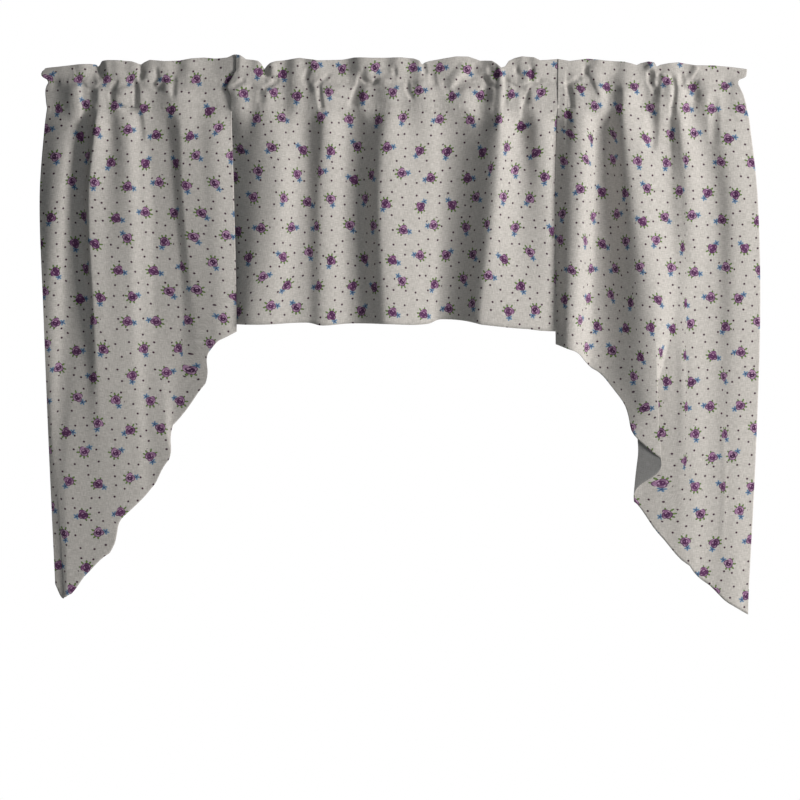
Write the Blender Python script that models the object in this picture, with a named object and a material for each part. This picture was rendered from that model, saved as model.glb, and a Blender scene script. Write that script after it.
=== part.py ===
"""Window valance: a straight centre valance between a left and a right swag.

The three pieces are gathered side by side on one straight rod pocket. Each is cut from printed
linen-look cotton: a heading (a standing frill over an open pocket) and a panel that hangs below it.
Metres, +Z up. The rod's place runs along X, the front of the cloth faces -Y, and the origin is on
the pocket's axis, half way along the valance.
"""

import math
from collections import namedtuple

import bmesh
import bpy

MM = 0.001

# Cloth and the height of each seam, from the pocket's axis
CLOTH = 1.2 * MM
POCKET_HALF = 22.0 * MM
FRILL_TOP = 56.0 * MM
SEAM_GAP = 0.65 * MM
END_GAP = 0.3 * MM

# Where the three pieces meet along the rod
LEFT_END = -585.0 * MM
LEFT_JOIN = -277.0 * MM
RIGHT_JOIN = 270.0 * MM
RIGHT_END = 577.0 * MM

# The open pocket: how far its walls stand before and behind the rod's axis
FRONT_WALL = 12.5 * MM
BACK_WALL = 11.0 * MM
FRONT_PUFF = 0.8
BACK_PUFF = 0.5
WALL_SHOULDER = 12.0 * MM
INSIDE_INSET = 0.7 * MM
POCKET_CORNER = 18.0 * MM

# How far the heading's two outer ends flare, in millimetres: at the frill's edge, at the upper
# seam, half way down the pocket and at the lower seam
Flare = namedtuple("Flare", "frill upper pocket lower")
LEFT_FLARE = Flare(-9, 2, -2, 0)
RIGHT_FLARE = Flare(11, -7, 3, 5)
FLARE_REACH = 26.0 * MM

# Heights, under the pocket's axis, at which the folds are drawn
HEIGHTS = tuple(-h * MM for h in (22.0, 55.0, 176.0, 360.0, 594.0, 828.0))

# The fine gathers are fullest just under the pocket and die out further down. The two seams hold
# them to a share of their depth
GATHER_PEAK = -40.0 * MM
GATHER_END = -135.0 * MM
UPPER_SEAM_PUFF = 0.35
LOWER_SEAM_PUFF = 0.55

# How fully the cloth turns at a fold line whose curl is 1, and how fast the folds still change
# under the lowest of HEIGHTS
FULLNESS = 1.35
HEM_SWING = 0.5

PANEL_ROWS = {"left_swag": 13, "centre_valance": 8, "right_swag": 13}
ROW_CROWDING = 1.55
GATHER_STEP = 7.5 * MM
FOLD_STEP = 12.0 * MM

LINEN = (0.62, 0.585, 0.54, 1.0)
LINEN_ROUGHNESS = 0.88
SHARP_EDGE = math.radians(50.0)

# One row for each gather on the rod, left to right, in millimetres:
# x of its crest, lean of the frill above it, frill and pocket depth, rise of the frill's edge
Gather = namedtuple("Gather", "x lean frill puff rise")
GATHERS = (
    Gather(-585, 0, 4, 0, -13),
    Gather(-567, 5, 4, 4, -11),
    Gather(-540, 8, 6, 4, -7),
    Gather(-495, 6, 8, 6, -2),
    Gather(-461, -2, 5, 5, 2),
    Gather(-440, 4, 3, 2, 0),
    Gather(-424, 0, 5, 4, -2),
    Gather(-389, -4, 6, 5, 2),
    Gather(-362, -3, 6, 4, 2),
    Gather(-340, 2, 4, 3, 4),
    Gather(-309, 0, 6, 5, 4),
    Gather(-291, 4, 4, 3, 6),
    Gather(-263, 2, 7, 6, 8),
    Gather(-240, 6, 3, 2, 0),
    Gather(-217, -6, 8, 6, -6),
    Gather(-169, 0, 7, 5, 3),
    Gather(-138, 1, 5, 3, 1),
    Gather(-118, 8, 4, 3, 1),
    Gather(-87, 2, 3, 4, 3),
    Gather(-56, 4, 6, 5, 5),
    Gather(-28, 2, 5, 3, 4),
    Gather(-4, 6, 7, 6, 5),
    Gather(50, -8, 7, 6, 1),
    Gather(82, 2, 5, 4, 5),
    Gather(118, -1, 6, 5, 7),
    Gather(152, 4, 4, 3, 2),
    Gather(175, -6, 8, 6, -3),
    Gather(205, 4, 5, 3, 6),
    Gather(231, 4, 6, 5, 2),
    Gather(281, -4, 5, 4, 3),
    Gather(307, -6, 6, 5, 4),
    Gather(342, -2, 6, 4, 4),
    Gather(384, 0, 8, 6, 0),
    Gather(410, 3, 4, 3, -3),
    Gather(441, -8, 6, 6, -3),
    Gather(470, -8, 6, 5, -5),
    Gather(492, -5, 4, 3, -6),
    Gather(514, -3, 5, 4, -7),
    Gather(540, -4, 4, 3, -8),
    Gather(562, 2, 4, 3, -10),
    Gather(583, 0, 4, 0, -12),
)

# One row for each fold line, left to right, in millimetres. x: from the middle, at each of HEIGHTS;
# out: how far it stands before the hanging plane there, 0 at the pocket's seam; hem: where the
# cloth ends on that line; curl: how roundly the cloth turns there
Fold = namedtuple("Fold", "x out hem curl")

LEFT_FOLDS = (
    Fold((-585, -590, -599, -595, -582, -571), (0, -2, -4, 9, 10, 2), -818, 0.6),
    Fold((-562, -562, -579, -588, -577, -558), (0, 10, 12, 13, 11, 4), -842, 0.9),
    Fold((-527, -530, -543, -563, -572, -556), (0, -10, -18, -11, 1, 3), -840, 0.9),
    Fold((-513, -519, -532, -528, -550, -553), (0, -1, -8, 2, 18, 12), -837, 0.8),
    Fold((-506, -509, -524, -517, -520, -520), (0, 8, 5, -4, -2, 2), -803, 0.8),
    Fold((-497, -502, -517, -508, -486, -466), (0, 21, 27, 25, 24, 17), -766, 0.6),
    Fold((-476, -477, -480, -478, -478, -476), (0, 4, 12, 19, 4, 0), -724, 0.8),
    Fold((-453, -452, -450, -446, -436, -432), (0, 15, 18, 12, 10, 7), -684, 0.9),
    Fold((-434, -430, -420, -418, -411, -408), (0, 2, 5, 1, -6, -8), -657, 0.9),
    Fold((-420, -415, -397, -397, -380, -378), (0, 10, 9, 6, 12, 12), -610, 0.8),
    Fold((-397, -390, -378, -375, -386, -390), (0, -9, -13, -15, -12, -10), -552, 0.9),
    Fold((-362, -356, -351, -333, -310), (0, 14, 16, 17, 15), -483, 0.8),
    Fold((-330, -331, -325, -322, -330), (0, 3, 5, -7, -10), -432, 0.9),
    Fold((-301, -307, -305, -300, -298), (0, 9, 11, 6, 4), -411, 0.9),
    Fold((-277.8, -276, -272, -268, -267), (0, 1, 4, 4, 3), -396, 0.7),
)

CENTRE_FOLDS = (
    Fold((-276.2, -277, -284, -283), (0, -9, -16, -18), -383, 0.8),
    Fold((-212, -211, -207, -234), (0, 12, 20, 19), -385, 1.0),
    Fold((-144, -148, -157, -153), (0, -9, -13, -14), -381, 1.0),
    Fold((-117, -114, -111, -112), (0, 14, 17, 16), -386, 0.9),
    Fold((-83, -77, -65, -66), (0, -8, -13, -14), -382, 1.0),
    Fold((-12, -17, -25, -15), (0, 16, 22, 18), -384, 0.8),
    Fold((25, 22, 8, 22), (0, 0, 6, 12), -385, 0.8),
    Fold((57, 54, 40, 42), (0, 8, 11, 7), -383, 0.8),
    Fold((90, 89, 82, 74), (0, -9, -13, -14), -375, 1.0),
    Fold((174, 175, 167, 143), (0, 20, 25, 23), -385, 0.6),
    Fold((206, 207, 212, 222), (0, -5, -4, -4), -392, 0.9),
    Fold((235, 237, 238, 246), (0, 11, 9, 1), -395, 0.9),
    Fold((268.8, 271, 276, 276), (0, -11, -17, -18), -396, 0.8),
)

RIGHT_FOLDS = (
    Fold((270.4, 267, 262, 265), (0, 2, 3, 1), -417, 0.8),
    Fold((306, 306, 302, 291), (0, 17, 21, 19), -427, 0.9),
    Fold((345, 344, 343, 331), (0, -11, -18, -17), -462, 0.9),
    Fold((382, 383, 398, 424, 440), (0, 14, 20, 27, 28), -606, 0.8),
    Fold((456, 456, 458, 459, 399, 388), (0, -3, -5, -5, -13, -13), -681, 0.6),
    Fold((465, 465, 471, 473, 440, 430), (0, 4, 2, 0, -6, -3), -731, 0.8),
    Fold((474, 475, 485, 487, 489, 488), (0, 12, 10, 7, 7, 5), -786, 0.7),
    Fold((507, 510, 525, 527, 527, 522), (0, 0, -4, -5, -4, -2), -820, 0.9),
    Fold((547, 547, 563, 566, 564, 556), (0, 10, 10, 8, 6, 4), -851, 0.9),
    Fold((582, 590, 603, 607, 600, 588), (0, 0, -6, -6, -5, -3), -869, 0.8),
)


def clear_scene():
    """Remove everything that the start-up file holds."""
    for item in list(bpy.data.objects):
        bpy.data.objects.remove(item, do_unlink=True)


def between(low, high, share):
    """The value at a share of the way from low to high."""
    return low + (high - low) * share


def ease(share):
    """A smooth step from 0 to 1."""
    share = min(max(share, 0.0), 1.0)
    return share * share * (3.0 - 2.0 * share)


def along_height(values, z):
    """A fold line's value at height z: a smooth curve through its values at HEIGHTS."""
    heights = HEIGHTS[:len(values)]
    last = len(values) - 1
    if z >= heights[0]:
        return values[0] * MM
    if z <= heights[last]:
        slope = (values[last] - values[last - 1]) / (heights[last] - heights[last - 1])
        return (values[last] + HEM_SWING * slope * (z - heights[last])) * MM
    i = max(k for k in range(last) if z <= heights[k])
    slopes = []
    for k in (i, i + 1):
        before, after = max(k - 1, 0), min(k + 1, last)
        slopes.append((values[after] - values[before]) / (heights[after] - heights[before]))
    span = heights[i + 1] - heights[i]
    t = (z - heights[i]) / span
    return MM * hermite(values[i], values[i + 1], slopes[0] * span, slopes[1] * span, t)


def hermite(start, end, leave, arrive, t):
    """A cubic from start to end that leaves and arrives with the given slopes."""
    square, cube = t * t, t * t * t
    return (start * (2 * cube - 3 * square + 1) + leave * (cube - 2 * square + t)
            + end * (3 * square - 2 * cube) + arrive * (cube - square))


def gather_wave(u):
    """The gathers at u along the rod: their lean, frill and puff depth, and the edge's rise."""
    crests = [g.x * MM for g in GATHERS]
    i = max([k for k in range(len(crests) - 1) if u >= crests[k]], default=0)
    left, right = GATHERS[i], GATHERS[i + 1]
    share = (u - crests[i]) / (crests[i + 1] - crests[i])
    wave = math.cos(2.0 * math.pi * share)
    lean = between(left.lean, right.lean, share) * MM
    frill = between(left.frill, right.frill, share) * wave * MM
    puff = between(left.puff, right.puff, share) * wave * MM
    rise = between(left.rise, right.rise, ease(share)) * MM
    return lean, frill, puff, rise


def gather_share(z):
    """How strongly the gathers still show at height z under the pocket's seam."""
    if z >= GATHER_PEAK:
        below = ease((-POCKET_HALF - z) / (-POCKET_HALF - GATHER_PEAK))
        return between(LOWER_SEAM_PUFF, 1.0, below)
    return 1.0 - ease((GATHER_PEAK - z) / (GATHER_PEAK - GATHER_END))


def fold_directions(points):
    """Which way the cloth heads at each fold line: sideways at a crest or valley, else on."""
    directions = []
    for i, (x, out) in enumerate(points):
        before, after = points[max(i - 1, 0)], points[min(i + 1, len(points) - 1)]
        peak = (out - before[1]) * (after[1] - out) <= 0.0
        if peak and 0 < i < len(points) - 1:
            directions.append((1.0, 0.0))
            continue
        run, rise = after[0] - before[0], after[1] - before[1]
        size = math.hypot(run, rise)
        directions.append((run / size, rise / size))
    return directions


def folded_point(folds, u, z):
    """Where the cloth that leaves the pocket at u has got to at height z: x and out."""
    seam = [f.x[0] * MM for f in folds]
    i = max([k for k in range(len(folds) - 1) if u >= seam[k]], default=0)
    t = (u - seam[i]) / (seam[i + 1] - seam[i])
    points = [(along_height(f.x, z), along_height(f.out, z)) for f in folds]
    (x0, out0), (x1, out1) = points[i], points[i + 1]
    reach = math.hypot(x1 - x0, out1 - out0)
    directions = fold_directions(points)
    turn = ease((-POCKET_HALF - z) / POCKET_HALF)
    leave = reach * between(1.0, FULLNESS * folds[i].curl, turn)
    arrive = reach * between(1.0, FULLNESS * folds[i + 1].curl, turn)
    x = hermite(x0, x1, directions[i][0] * leave, directions[i + 1][0] * arrive, t)
    out = hermite(out0, out1, directions[i][1] * leave, directions[i + 1][1] * arrive, t)
    return x, out


def level_slope(places, values, k):
    """The slope at place k of a curve through values that never overshoots them."""
    steps = [(values[j + 1] - values[j]) / (places[j + 1] - places[j]) for j in range(len(values) - 1)]
    if k == 0 or k == len(steps):
        return steps[min(k, len(steps) - 1)]
    before, after = steps[k - 1], steps[k]
    if before * after <= 0.0:
        return 0.0
    return 2.0 * before * after / (before + after)


def hem_height(folds, u):
    """The height of the hem on the cloth that leaves the pocket at u."""
    seam = [f.x[0] * MM for f in folds]
    i = max([k for k in range(len(folds) - 1) if u >= seam[k]], default=0)
    t = (u - seam[i]) / (seam[i + 1] - seam[i])
    hems = [f.hem * MM for f in folds]
    slopes = [level_slope(seam, hems, k) for k in (i, i + 1)]
    span = seam[i + 1] - seam[i]
    return hermite(hems[i], hems[i + 1], slopes[0] * span, slopes[1] * span, t)


def heading_stations(start, end):
    """Places along a heading: its gathers' crests, with even steps between them."""
    crests = [g.x * MM for g in GATHERS if start < g.x * MM < end]
    marks = [start] + crests + [end]
    places = []
    for left, right in zip(marks, marks[1:]):
        steps = max(2, round((right - left) / GATHER_STEP))
        places += [between(left, right, k / steps) for k in range(steps)]
    return places + [end]


def panel_stations(folds):
    """Places along a panel's seam: its fold lines, closer where the cloth between them is wide."""
    places = []
    for left, right in zip(folds, folds[1:]):
        spans = [math.hypot(b - a, d - c) for a, b, c, d in zip(left.x, right.x, left.out, right.out)]
        steps = max(2, math.ceil((right.x[0] - left.x[0]) * MM / GATHER_STEP),
                    math.ceil(max(spans) * MM / FOLD_STEP))
        places += [between(left.x[0], right.x[0], k / steps) * MM for k in range(steps)]
    return places + [folds[-1].x[0] * MM]


def linen(name):
    """Plain linen-look cotton, in the ground's colour."""
    material = bpy.data.materials.new(name)
    material.use_nodes = True
    shader = material.node_tree.nodes["Principled BSDF"]
    shader.inputs["Base Color"].default_value = LINEN
    shader.inputs["Roughness"].default_value = LINEN_ROUGHNESS
    shader.inputs["Metallic"].default_value = 0.0
    material.diffuse_color = LINEN
    return material


def add_object(name, mesh_data):
    """A named object with a material of its own, shaded smooth."""
    mesh = bpy.data.meshes.new(name)
    mesh_data.to_mesh(mesh)
    mesh_data.free()
    mesh.materials.append(linen(name + "_cloth"))
    mesh.shade_smooth()
    item = bpy.data.objects.new(name, mesh)
    bpy.context.scene.collection.objects.link(item)
    return item


def add_panel(name, folds):
    """A panel: one sheet from the pocket's seam to the hem, in its folds."""
    mesh_data = bmesh.new()
    top = -POCKET_HALF - SEAM_GAP
    rows = PANEL_ROWS[name]
    grid = []
    for u in panel_stations(folds):
        bottom = hem_height(folds, u)
        puff = gather_wave(u)[2]
        column = []
        for row in range(rows + 1):
            z = between(top, bottom, (row / rows) ** ROW_CROWDING)
            x, out = folded_point(folds, u, z)
            out += puff * gather_share(z)
            column.append(mesh_data.verts.new((x, -out, z)))
        grid.append(column)
    for left, right in zip(grid, grid[1:]):
        for row in range(rows):
            mesh_data.faces.new((left[row], left[row + 1], right[row + 1], right[row]))
    item = add_object(name, mesh_data)
    wall = item.modifiers.new("cloth_thickness", "SOLIDIFY")
    wall.thickness = CLOTH
    wall.offset = 0.0
    return item


def end_flare(u):
    """How far the heading is drawn sideways at u, at each of the flare's four heights."""
    left = ease(1.0 - (u - LEFT_END) / FLARE_REACH)
    right = ease(1.0 - (RIGHT_END - u) / FLARE_REACH)
    return [(a * left + b * right) * MM for a, b in zip(LEFT_FLARE, RIGHT_FLARE)]


def heading_section(u):
    """The heading's cross-section at u: its outer loop and the pocket's inner loop."""
    lean, frill, puff, rise = gather_wave(u)
    edge, upper, middle, lower = end_flare(u)
    edge += lean
    seam = LOWER_SEAM_PUFF * puff
    tuck = UPPER_SEAM_PUFF * puff
    top = FRILL_TOP + rise
    front = FRONT_WALL + FRONT_PUFF * puff
    back = BACK_PUFF * puff - BACK_WALL
    inside = WALL_SHOULDER - INSIDE_INSET
    outer = (
        (edge, frill + CLOTH, top),
        (upper, tuck + CLOTH, POCKET_HALF),
        (middle, front, WALL_SHOULDER),
        (middle, front, -WALL_SHOULDER),
        (lower, seam + CLOTH, -POCKET_HALF),
        (lower, seam - CLOTH, -POCKET_HALF),
        (middle, back, -WALL_SHOULDER),
        (middle, back, WALL_SHOULDER),
        (upper, tuck - CLOTH, POCKET_HALF),
        (edge, frill - CLOTH, top),
    )
    inner = (
        (upper, tuck, POCKET_CORNER),
        (middle, front - CLOTH, inside),
        (middle, front - CLOTH, -inside),
        (lower, seam, -POCKET_CORNER),
        (middle, back + CLOTH, -inside),
        (middle, back + CLOTH, inside),
    )
    return outer, inner


def add_heading(name, start, end):
    """A heading: the doubled frill and, under it, the open pocket for the rod."""
    mesh_data = bmesh.new()
    loops = []
    for u in heading_stations(start, end):
        pair = []
        for section in heading_section(u):
            pair.append([mesh_data.verts.new((u + shift, -out, z)) for shift, out, z in section])
        loops.append(pair)
    for (outer, inner), (next_outer, next_inner) in zip(loops, loops[1:]):
        for k in range(len(outer)):
            n = (k + 1) % len(outer)
            mesh_data.faces.new((outer[k], outer[n], next_outer[n], next_outer[k]))
        for k in range(len(inner)):
            n = (k + 1) % len(inner)
            mesh_data.faces.new((inner[n], inner[k], next_inner[k], next_inner[n]))
    for outer, inner in (loops[0], loops[-1]):
        close_end(mesh_data, outer, inner)
    bmesh.ops.recalc_face_normals(mesh_data, faces=mesh_data.faces)
    item = add_object(name, mesh_data)
    item.data.set_sharp_from_angle(angle=SHARP_EDGE)
    return item


def close_end(mesh_data, outer, inner):
    """Close one end of a heading, leaving the pocket open."""
    faces = (
        (outer[0], outer[1], outer[8], outer[9]),
        (outer[1], inner[0], outer[8]),
        (outer[1], outer[2], inner[1], inner[0]),
        (outer[2], outer[3], inner[2], inner[1]),
        (outer[3], outer[4], inner[3], inner[2]),
        (outer[4], outer[5], inner[3]),
        (outer[5], outer[6], inner[4], inner[3]),
        (outer[6], outer[7], inner[5], inner[4]),
        (outer[7], outer[8], inner[0], inner[5]),
    )
    for face in faces:
        mesh_data.faces.new(face)


def main():
    clear_scene()
    add_heading("left_heading", LEFT_END, LEFT_JOIN - END_GAP)
    add_heading("centre_heading", LEFT_JOIN + END_GAP, RIGHT_JOIN - END_GAP)
    add_heading("right_heading", RIGHT_JOIN + END_GAP, RIGHT_END)
    add_panel("left_swag", LEFT_FOLDS)
    add_panel("centre_valance", CENTRE_FOLDS)
    add_panel("right_swag", RIGHT_FOLDS)


main()
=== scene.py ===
# %% [markdown]
# # A gathered window valance in printed cotton
# The real thing is three pieces of linen-look cotton on one curtain rod: a straight centre valance
# between two swags that run down to long points. Each piece is one sheet. Its top is turned over to
# the back and stitched down twice, which leaves a standing frill and, under it, an open pocket.
# The solids of the frame already hang in the right folds. Here each piece is made again as one fine
# sheet of cloth, with its gathers, puckers, creases, weave and print.

# %% Load the frame and keep its box
import math
from collections import namedtuple

import bmesh
import bpy
import numpy as np
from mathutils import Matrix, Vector


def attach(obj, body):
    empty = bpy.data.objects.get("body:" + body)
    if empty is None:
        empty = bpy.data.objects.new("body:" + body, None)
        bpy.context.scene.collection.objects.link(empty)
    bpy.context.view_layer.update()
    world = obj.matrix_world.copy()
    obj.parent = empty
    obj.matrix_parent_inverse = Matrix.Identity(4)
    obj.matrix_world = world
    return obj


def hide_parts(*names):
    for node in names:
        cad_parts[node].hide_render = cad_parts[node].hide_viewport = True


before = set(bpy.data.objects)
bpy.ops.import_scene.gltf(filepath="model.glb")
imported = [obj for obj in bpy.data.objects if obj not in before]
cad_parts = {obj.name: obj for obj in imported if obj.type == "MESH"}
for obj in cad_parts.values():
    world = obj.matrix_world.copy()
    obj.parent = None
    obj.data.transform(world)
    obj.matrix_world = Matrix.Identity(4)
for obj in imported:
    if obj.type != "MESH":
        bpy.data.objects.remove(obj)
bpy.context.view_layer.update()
MM = 0.001
print("the frame's nodes:", sorted(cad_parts))

# %% [markdown]
# ## The camera
# The photograph looks straight at the valance from far away, so its folds are hardly foreshortened.
# A long lens does the same. One pixel of the 800 pixel wide photograph is 1.6717 mm at the cloth,
# and the valance's own middle lies 3 pixels left of the photograph's.

# %% Camera
PIXEL = 1.6717 * MM
PHOTO_SIDE = 800
PHOTO_MIDDLE_X = 397.0
ROD_PIXEL_Y = 94.75
CAMERA_DISTANCE = 6.0
SENSOR = 36.0


def add_camera():
    """A long lens in front of the middle of the photograph's frame."""
    data = bpy.data.cameras.new("camera")
    data.sensor_width = SENSOR
    data.lens = SENSOR * CAMERA_DISTANCE / (PHOTO_SIDE * PIXEL)
    camera = bpy.data.objects.new("camera", data)
    bpy.context.scene.collection.objects.link(camera)
    x = (PHOTO_SIDE / 2 - PHOTO_MIDDLE_X) * PIXEL
    z = (ROD_PIXEL_Y - PHOTO_SIDE / 2) * PIXEL
    camera.location = (x, -CAMERA_DISTANCE, z)
    camera.rotation_euler = (math.radians(90), 0, 0)
    bpy.context.scene.camera = camera
    return camera


camera = add_camera()
print("lens", round(camera.data.lens, 1), "mm")

# %% [markdown]
# ## How the cloth hangs
# A gathered cloth is described best by its own lines. The swells of the frill and of the pocket are
# two rows of places along the rod, each with how far the cloth stands out there. Each fold below
# the rod is one row of a table: where its line runs at up to six heights, how far it stands out
# there, where the hem cuts it, and how roundly the cloth turns at it. All are judged.

# %% Gathers and folds, in millimetres
HEIGHTS = (-22.0, -55.0, -176.0, -360.0, -594.0, -828.0)
FRILL_TOP = 56.0
FRILL_ROW = (
    (-595, -5), (-568, -1), (-558, 0), (-547, 0), (-527, 3), (-502, -4), (-485, 4), (-478, 2.5),
    (-470, 4), (-450, 1), (-440, 1.5), (-428, -2), (-413, 2), (-400, 1.5), (-388, 2), (-369, -2),
    (-349, 2), (-321, -2), (-306, -3), (-283, 2), (-276, 3.2), (-266, 4), (-242, 0), (-232, 2),
    (-221, -3), (-211, 2.5), (-189, -3), (-169, 3), (-154, 0), (-140, 3.5), (-112, -2), (-84, -5),
    (-59, 4), (-37, 2), (-18, -1), (0, 3), (23, -2), (38, 1), (59, -1), (92, 1), (139, -4), (171, 4),
    (196, 0), (211, 2.5), (219, 1), (231, 3.5), (262, 0), (293, -1), (301, -1.5), (319, -4), (336, 0),
    (366, -4), (383, -1), (406, -3), (431, 2), (440, 1), (456, 3), (486, -1), (502, 1.5), (532, -1),
    (557, -2.5), (587, -2),
)
POCKET_ROW = (
    (-588, -7), (-560, -3), (-540, 3), (-518, 0), (-498, 7.5), (-481, 3), (-466, 6.5), (-440, 0),
    (-430, 3.5), (-408, 0), (-368, 6.5), (-321, -2), (-286, -3), (-262, 5), (-242, 1), (-221, 5),
    (-189, -2), (-169, 2.5), (-154, 0), (-125, 5.5), (-74, -6), (-55, -1), (-43, -1.5), (-10, 5),
    (12, 1), (42, 3), (72, -2), (114, 1), (139, -7), (160, 1), (171, 3), (179, 2.5), (206, -4),
    (226, 0), (256, -2), (278, -2.5), (301, 3), (326, 0.5), (336, 1), (354, -5), (378, 7), (415, -5),
    (443, 4), (456, 1.5), (468, 4), (493, -5), (518, 1), (553, -4), (568, -2.5), (583, -3),
)

Fold = namedtuple("Fold", "x out hem curl")

LEFT_FOLDS = (
    Fold((-585, -590, -598, -591, -582, -571), (0, -5, -7, 2, -2, -2), -818, 0.6),
    Fold((-562, -555, -569, -578, -574, -558), (0, 4, 5, 4, 1, 1), -842, 0.9),
    Fold((-527, -526, -541, -552, -566, -556), (0, -5, -4, -3, 2, 3), -840, 0.9),
    Fold((-513, -516, -526, -528, -548, -550), (0, -2, -2.5, 0, 5, 5), -837, 0.8),
    Fold((-506, -509, -519, -515, -522, -520), (0, 6, 6, 5, 6, 5), -803, 0.8),
    Fold((-497, -502, -513, -505, -492, -480), (0, 18, 18, 17, 8, 6), -766, 0.7),
    Fold((-476, -477, -480, -478, -471, -458), (0, 5, 11, 14, 8, 5), -724, 0.8),
    Fold((-453, -452, -450, -446, -436, -432), (0, 12, 14, 12, 6, 3), -684, 0.9),
    Fold((-434, -430, -424, -420, -411, -408), (0, 2, 3, 2, 2, 0), -657, 0.9),
    Fold((-420, -415, -405, -402, -386, -378), (0, -1, -3, -2, 3, 2), -610, 0.8),
    Fold((-393, -385, -374, -362, -377, -384), (0, -1, -1, -1.5, -3, -4), -552, 0.8),
    Fold((-362, -359, -355, -338, -310), (0, 9, 8, 4.5, 3), -483, 0.7),
    Fold((-330, -331, -325, -315, -322), (0, 7, 8.5, 7.5, 1), -432, 0.9),
    Fold((-301, -307, -305, -298, -298), (0, 9, 10, 9, 5), -411, 0.9),
    Fold((-277.8, -276, -272, -268, -267), (0, 1, 4, 4, 3), -396, 0.7),
)

CENTRE_FOLDS = (
    Fold((-276.2, -277, -284, -283), (0, -8, -11, -13), -383, 0.8),
    Fold((-212, -211, -207, -234), (0, 12, 19, 19), -385, 1.0),
    Fold((-144, -148, -154, -152), (0, -5, -4, -2), -381, 1.0),
    Fold((-119, -119, -125, -125), (0, 8, 5.5, 4.5), -386, 0.8),
    Fold((-83, -78, -72, -70), (0, -7, -10, -11), -382, 1.0),
    Fold((-12, -17, -25, -17), (0, 16, 20, 18), -384, 0.7),
    Fold((25, 25, 24, 26), (0, 4, 6, 6), -385, 0.8),
    Fold((57, 54, 51, 51), (0, 0, -4, -5), -383, 0.8),
    Fold((90, 89, 84, 76), (0, -9, -13, -14), -375, 1.0),
    Fold((174, 172, 163, 142), (0, 20, 25, 23), -385, 0.5),
    Fold((206, 207, 212, 218), (0, -4, 1, 9), -392, 0.9),
    Fold((235, 240, 243, 246), (0, 9, 5, 3), -395, 0.9),
    Fold((268.8, 271, 275, 275), (0, -3, -7, -5), -396, 0.8),
)

RIGHT_FOLDS = (
    Fold((270.4, 267, 262, 265), (0, 0, -2, -4), -417, 0.8),
    Fold((306, 306, 302, 291), (0, 17, 21, 19), -427, 0.9),
    Fold((345, 344, 343, 331), (0, -11, -18, -17), -458, 0.9),
    Fold((382, 383, 398, 424, 439), (0, 14, 20, 25, 4), -606, 0.8),
    Fold((456, 456, 459, 467, 406, 390), (0, -1, 2, 9, -3, -5), -681, 0.6),
    Fold((465, 465, 471, 478, 443, 430), (0, 4, 4, 8, 1, 1), -731, 0.8),
    Fold((474, 475, 485, 487, 489, 488), (0, 9, 7, 6, 5, 4), -786, 0.7),
    Fold((507, 510, 529, 532, 527, 522), (0, 0, -3, -1, 1, 1), -820, 0.9),
    Fold((547, 547, 563, 566, 564, 556), (0, 7, 6, 5, 3, 3), -851, 0.9),
    Fold((582, 590, 603, 607, 600, 588), (0, 2, 1, 1.5, 0, -1), -869, 0.8),
)
print(len(FRILL_ROW), "swells in the frill,", len(POCKET_ROW), "in the pocket,",
      len(LEFT_FOLDS + CENTRE_FOLDS + RIGHT_FOLDS), "fold lines")

# %% [markdown]
# ## Curves
# Between the rows of a table the cloth runs in smooth cubic curves. A Hermite cubic takes the two
# values and the two slopes. Where a value must not overshoot its neighbours, as at a crest, the
# slope is the harmonic mean of the steps beside it, and zero where they point different ways.


# %% Curve helpers
def between(low, high, share):
    """The value at a share of the way from low to high."""
    return low + (high - low) * share


def ease(share):
    """A smooth step from 0 to 1."""
    share = np.clip(share, 0.0, 1.0)
    return share * share * (3.0 - 2.0 * share)


def hermite(start, end, leave, arrive, t):
    """A cubic from start to end that leaves and arrives with the given slopes."""
    square, cube = t * t, t * t * t
    return (start * (2 * cube - 3 * square + 1) + leave * (cube - 2 * square + t)
            + end * (3 * square - 2 * cube) + arrive * (cube - square))


NO_SLOPE = 1e-12


def level_mean(before, after):
    """The harmonic mean of two slopes, and 0 where they differ in sign."""
    same = before * after > NO_SLOPE
    return np.where(same, 2.0 * before * after / np.where(same, before + after, 1.0), 0.0)


HEM_SWING = 0.5


def along_height(values, z):
    """A fold line's value at the heights z: a smooth curve through its values at HEIGHTS."""
    heights = np.array(HEIGHTS[:len(values)])
    values = np.array(values, float)
    last = len(values) - 1
    slopes = [(values[min(k + 1, last)] - values[max(k - 1, 0)])
              / (heights[min(k + 1, last)] - heights[max(k - 1, 0)]) for k in range(last + 1)]
    result = np.full(z.shape, values[0])
    for k in range(last):
        span = heights[k + 1] - heights[k]
        t = (z - heights[k]) / span
        inside = (z <= heights[k]) & (z > heights[k + 1])
        curve = hermite(values[k], values[k + 1], slopes[k] * span, slopes[k + 1] * span, t)
        result = np.where(inside, curve, result)
    tail = (values[last] - values[last - 1]) / (heights[last] - heights[last - 1])
    swing = values[last] + HEM_SWING * tail * (z - heights[last])
    return np.where(z <= heights[last], swing, result)


# %% [markdown]
# ## The gathers
# The cloth runs smoothly through the swells of its row, with no overshoot at their crests. Right at
# a row of stitches it is drawn into puckers only a few millimetres wide as well.


# %% Gathers and puckers
SWELL = 1.25
SOFTENING = ((-6.0, 0.15), (-3.0, 0.22), (0.0, 0.26), (3.0, 0.22), (6.0, 0.15))


def smooth_row(places, values, u):
    """The value at u of a smooth curve through the values, which stays within them."""
    places, values = np.array(places, float), np.array(values, float)
    steps = np.diff(values) / np.diff(places)
    slopes = np.concatenate([steps[:1], level_mean(steps[:-1], steps[1:]), steps[-1:]])
    i = int(np.clip(np.searchsorted(places, u, side="right") - 1, 0, len(places) - 2))
    span = places[i + 1] - places[i]
    share = np.clip((u - places[i]) / span, 0.0, 1.0)
    return float(hermite(values[i], values[i + 1], slopes[i] * span, slopes[i + 1] * span, share))


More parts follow.
